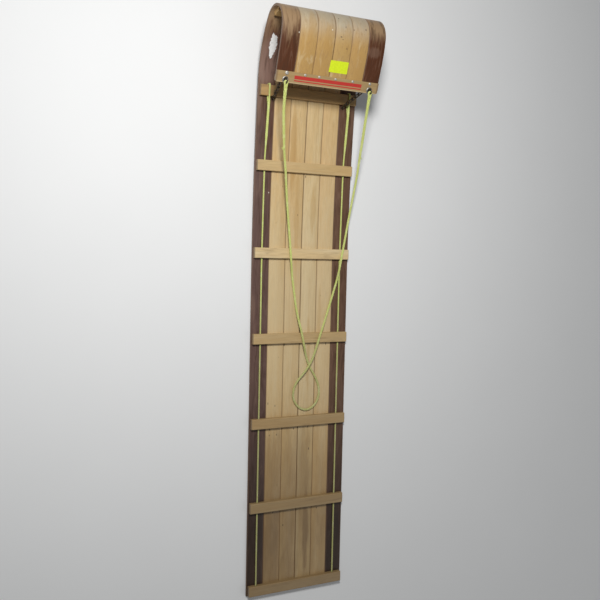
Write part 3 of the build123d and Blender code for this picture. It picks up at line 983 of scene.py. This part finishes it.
def rope_loop(name, sign, lay):
    """The spliced loop round the wire of a bolt's eye."""
    middle, lead, normal = bolt_eye(sign)
    bight = middle + lead * bolt_eye_radius
    square = normal.cross(lead).normalized()
    shape = [(forward, -aside) for forward, aside in loop_leg] + list(reversed(loop_leg))
    route = [bight + lead * forward + square * aside for forward, aside in shape]

    def pressed(length, whole):
        """The rope is thinnest where it bears on the wire."""
        near = max(0.0, 1 - abs(length - whole / 2) / pressed_length)
        return splice_rope_size / 2 * (loop_fullness - loop_pressing * near)

    return braid(name, route, pressed, lay, loop_spacing)[0]


def side_rope_route(sign):
    """A side rope's line: under the cleats, over the front one, down its front and back beneath it."""
    x = sign * side_rope_x
    lift = slat_thickness + side_rope_size / 2 + rope_seat
    front, forward, normal = on_slats(front_cleat_along, slat_thickness, x)
    clear = side_rope_size / 2 + rope_seat
    over = front + normal * (cleat_height + clear)
    under = front + normal * clear
    half = forward * (cleat_width / 2)
    ahead = half + forward * clear
    ease = 0.0077
    after_last = last_cleat_along + cleat_width / 2
    return [
        on_slats(0.008, lift, x)[0],
        on_slats(flat_length - 0.05, lift, x)[0],
        on_slats(flat_length + 0.10, lift, x)[0],
        on_slats(after_last - 0.03, lift, x)[0],
        on_slats(after_last + 0.006, lift, x)[0],
        on_slats(after_last + 0.05, lift + 0.0035, x)[0],
        over - half - forward * 0.030 - normal * 0.0021,
        over - half,
        over - half * 0.3,
        over + ahead - forward * ease,
        over + ahead,
        over + ahead - normal * ease,
        under + ahead + normal * ease,
        under + ahead,
        under + ahead - forward * ease,
        under - half,
        under - half - forward * 0.020 + normal * 0.004,
        under - half - forward * 0.048 + normal * 0.0125,
    ]


def side_radius(length, whole):
    """A side rope swells where its end is tucked back inside it, below the front cleat."""
    plain = side_rope_size / 2
    before_front = front_cleat_along - cleat_width / 2 - 0.012
    share = min((length - before_front + side_tuck) / 0.045, (before_front - length) / 0.02, 1.0)
    return plain + side_swell * max(share, 0.0)


class BendSlats(bpy.types.Operator):
    """Bend the six slats and give them their wood"""

    bl_idname = "toboggan.bend_slats"
    bl_label = "Bent slats"

    def execute(self, context):
        wood = context.scene.toboggan_wood
        for number in range(1, 7):
            stained = number in (1, 6)
            material = slat_finish(number, wood.stained if stained else wood.pale, stained)
            slot = "stained_wood" if stained else "pale_wood"
            put_on(bend_slat(number), material, slot, f"slat_{number}")
        return {"FINISHED"}


class FinishCleats(bpy.types.Operator):
    """Varnish the cleats and the tip bar"""

    bl_idname = "toboggan.finish_cleats"
    bl_label = "Cleats and tip bar"

    def execute(self, context):
        tone = context.scene.toboggan_wood.cleat
        names = [f"cleat_{number}" for number in range(1, 7)] + ["cleat_front", "cleat_curl"]
        for index, name in enumerate(names):
            dress_node(name, cross_wood(name, tone, 2.3 + index * 1.9))
        dress_node("tip_bar", cross_wood("tip_bar", tone, 31.0, stripe=True))
        return {"FINISHED"}


# The eyelets' duller plating, and the painted shade in their cups: how far it sits off the bolt, towards the
# bar's upper edge, and its reach
dull_zinc = (0.38, 0.36, 0.32)
cup_shade_shift = 0.002
cup_shade_reach = 0.0088


class FinishFittings(bpy.types.Operator):
    """Plate the eyelets, bolts and screws, and darken the chains and screw eyes"""

    bl_idname = "toboggan.finish_fittings"
    bl_label = "Eyelets, bolts, screws and chains"

    def execute(self, context):
        fittings = context.scene.toboggan_fittings
        place, forward, normal = on_slats(bar_start - cup_shade_shift, -bar_lip)
        cups = [tuple(place + forward * bolt_along + Vector((x, 0, 0))) for x in (-bolt_x, bolt_x)]
        zinc = metal_finish("zinc_plating", fittings.zinc, 0.52, 0.45, (0.42, 0.38, 0.30))
        cup = metal_finish("cupped_zinc", dull_zinc, 0.42, 0.5, (0.22, 0.20, 0.17), cups, cup_shade_reach)
        dark = metal_finish("tarnished_steel", fittings.chain, 0.38, 0.6, (0.055, 0.045, 0.038))
        for side in ("left", "right"):
            dress_node(f"eyelet_{side}", cup)
            for name in ("bar_eye", "chain_eye", "deck_eye", "chain"):
                dress_node(f"{name}_{side}", dark)
        head = screw_head()
        for name, places in (("bar_screws", bar_screws()), ("running_side_screws", running_side_screws())):
            put_on(copy_screws(name, head, places), zinc, "zinc_plate")
        bpy.data.objects.remove(head)
        return {"FINISHED"}


class StickPapers(bpy.types.Operator):
    """Stick the blank slip outside the curl and the torn scrap inside it"""

    bl_idname = "toboggan.stick_papers"
    bl_label = "Paper slip and torn scrap"

    def execute(self, context):
        tone = context.scene.toboggan_fittings.paper
        slip = paper_sheet("blank_slip", slip_corners, lift=-0.0005, ragged=0.0002)
        put_on(slip, paper_finish("slip_paper", tone, 0.55, 160, 0.00005), None)
        scrap = paper_sheet("torn_scrap", scrap_corners, lift=slat_thickness + 0.0003, ragged=0.0016)
        put_on(scrap, paper_finish("scrap_paper", (0.74, 0.74, 0.72), 0.75, 240, 0.0002), None)
        return {"FINISHED"}


class LayTowRope(bpy.types.Operator):
    """Braid the tow rope along its route, with its two spliced loops"""

    bl_idname = "toboggan.lay_tow_rope"
    bl_label = "Tow rope"

    def execute(self, context):
        rope = context.scene.toboggan_rope
        material = rope_finish("tow_rope_braid", rope.colour)
        for side, sign in (("left", -1), ("right", 1)):
            loop = rope_loop(f"spliced_loop_{side}", sign, rope.lay)
            put_on(loop, material, "rope", f"splice_{side}")
        (left, left_lead, normal), (right, right_lead, normal) = bolt_eye(-1), bolt_eye(1)
        route = [left + left_lead * splice_mouth] + tow_route + [right + right_lead * splice_mouth]
        tow, line = braid("braided_tow_rope", route, tow_radius, rope.lay)
        put_on(tow, material, "rope", "tow_rope")
        whole = len(line) * braid_spacing
        for side, at, onward, aside in (("left", splice_lengths[0], 1, (-1, 0, 0.3)),
                                        ("right", whole - splice_lengths[1], -1, (1, 0, 0.5))):
            tuft = frayed_end(f"frayed_end_{side}", line, braid_spacing, at, onward, aside)
            put_on(tuft, material, "rope")
        return {"FINISHED"}


class LaySideRopes(bpy.types.Operator):
    """Braid the two side ropes that run under the cleats"""

    bl_idname = "toboggan.lay_side_ropes"
    bl_label = "Side ropes"

    def execute(self, context):
        rope = context.scene.toboggan_rope
        material = rope_finish("side_rope_braid", rope.colour)
        for side, sign in (("left", -1), ("right", 1)):
            piece, line = braid(f"braided_side_rope_{side}", side_rope_route(sign), side_radius, rope.lay,
                                side_spacing)
            put_on(piece, material, "rope", f"side_rope_{side}")
        return {"FINISHED"}


floor_size = 24
floor_drop = 0.0003
# Disk lamps: place, target, size and share of the key lamp's power
lamps = {"key_lamp": ((-0.95, 1.28, 2.4), (0.0, 0.30, 0.0), 0.6, 1.0),
         "fill_lamp": ((2.2, -2.2, 2.6), (0.0, 0.0, 0.0), 3.0, 0.20)}
sky_tone = (0.93, 0.96, 1.0)
sky_strength = 0.19
# The camera as solved from the photograph: lens, place, and its own right, up and backward directions
camera_lens = 43.384
camera_place = (-1.3274, 0.2517, 2.8570)
camera_axes = ((0.90688, 0.02166, 0.42085), (0.00617, 0.99789, -0.06464), (-0.42136, 0.06121, 0.90483))


class BuildStage(bpy.types.Operator):
    """Set the floor, the lamps and the camera"""

    bl_idname = "toboggan.build_stage"
    bl_label = "Stage"

    def execute(self, context):
        scene = context.scene
        stage = scene.toboggan_stage
        floor = start_shape("floor", bpy.ops.mesh.primitive_plane_add, size=floor_size,
                            location=(0, 0, -floor_drop))
        finish = Finish("floor_paint")
        mottle = finish.noise(finish.object_place(), (3, 3, 3), 3.0)
        finish.colour = finish.mix(mottle, shaded(stage.floor, (0.97,) * 3), stage.floor)
        floor.data.materials.append(finish.done(Roughness=0.9))
        for name, (place, target, size, share) in lamps.items():
            lamp = bpy.data.lights.new(name, "AREA")
            lamp.shape = "DISK"
            lamp.size = size
            lamp.energy = stage.key * share
            holder = add_object(name, lamp)
            holder.location = place
            holder.rotation_euler = (Vector(target) - Vector(place)).to_track_quat("-Z", "Y").to_euler()
        scene.world = bpy.data.worlds.new("studio")
        scene.world.use_nodes = True
        sky = scene.world.node_tree.nodes["Background"].inputs
        sky["Color"].default_value = (*sky_tone, 1)
        sky["Strength"].default_value = sky_strength
        camera = bpy.data.cameras.new("camera")
        camera.sensor_width = 36
        camera.lens = camera_lens
        scene.camera = add_object("camera", camera)
        turn = Matrix(camera_axes).transposed().to_4x4()
        scene.camera.matrix_world = Matrix.Translation(camera_place) @ turn
        scene.view_settings.view_transform = "Standard"
        return {"FINISHED"}


class TobogganPanel(bpy.types.Panel):
    """The toboggan's pieces and their settings"""

    bl_idname = "VIEW3D_PT_toboggan"
    bl_label = "Wooden toboggan"
    bl_space_type = "VIEW_3D"
    bl_region_type = "UI"
    bl_category = "Toboggan"

    def draw(self, context):
        for name, group in settings_names.items():
            box = self.layout.box()
            for item in group.__annotations__:
                box.prop(getattr(context.scene, name), item)
        for operator in operators:
            self.layout.operator(operator.bl_idname)


operators = (BendSlats, FinishCleats, FinishFittings, StickPapers, LayTowRope, LaySideRopes, BuildStage)
classes = (*settings_names.values(), *operators, TobogganPanel)


def register():
    for item in classes:
        bpy.utils.register_class(item)
    for name, group in settings_names.items():
        setattr(bpy.types.Scene, name, PointerProperty(type=group))


def unregister():
    for name in settings_names:
        delattr(bpy.types.Scene, name)
    for item in reversed(classes):
        bpy.utils.unregister_class(item)


def main():
    register()
    bpy.ops.toboggan.build_stage()
    bpy.ops.toboggan.lay_tow_rope()
    bpy.ops.toboggan.lay_side_ropes()
    bpy.ops.toboggan.bend_slats()
    bpy.ops.toboggan.finish_cleats()
    bpy.ops.toboggan.finish_fittings()
    bpy.ops.toboggan.stick_papers()


if __name__ == "__main__":
    main()
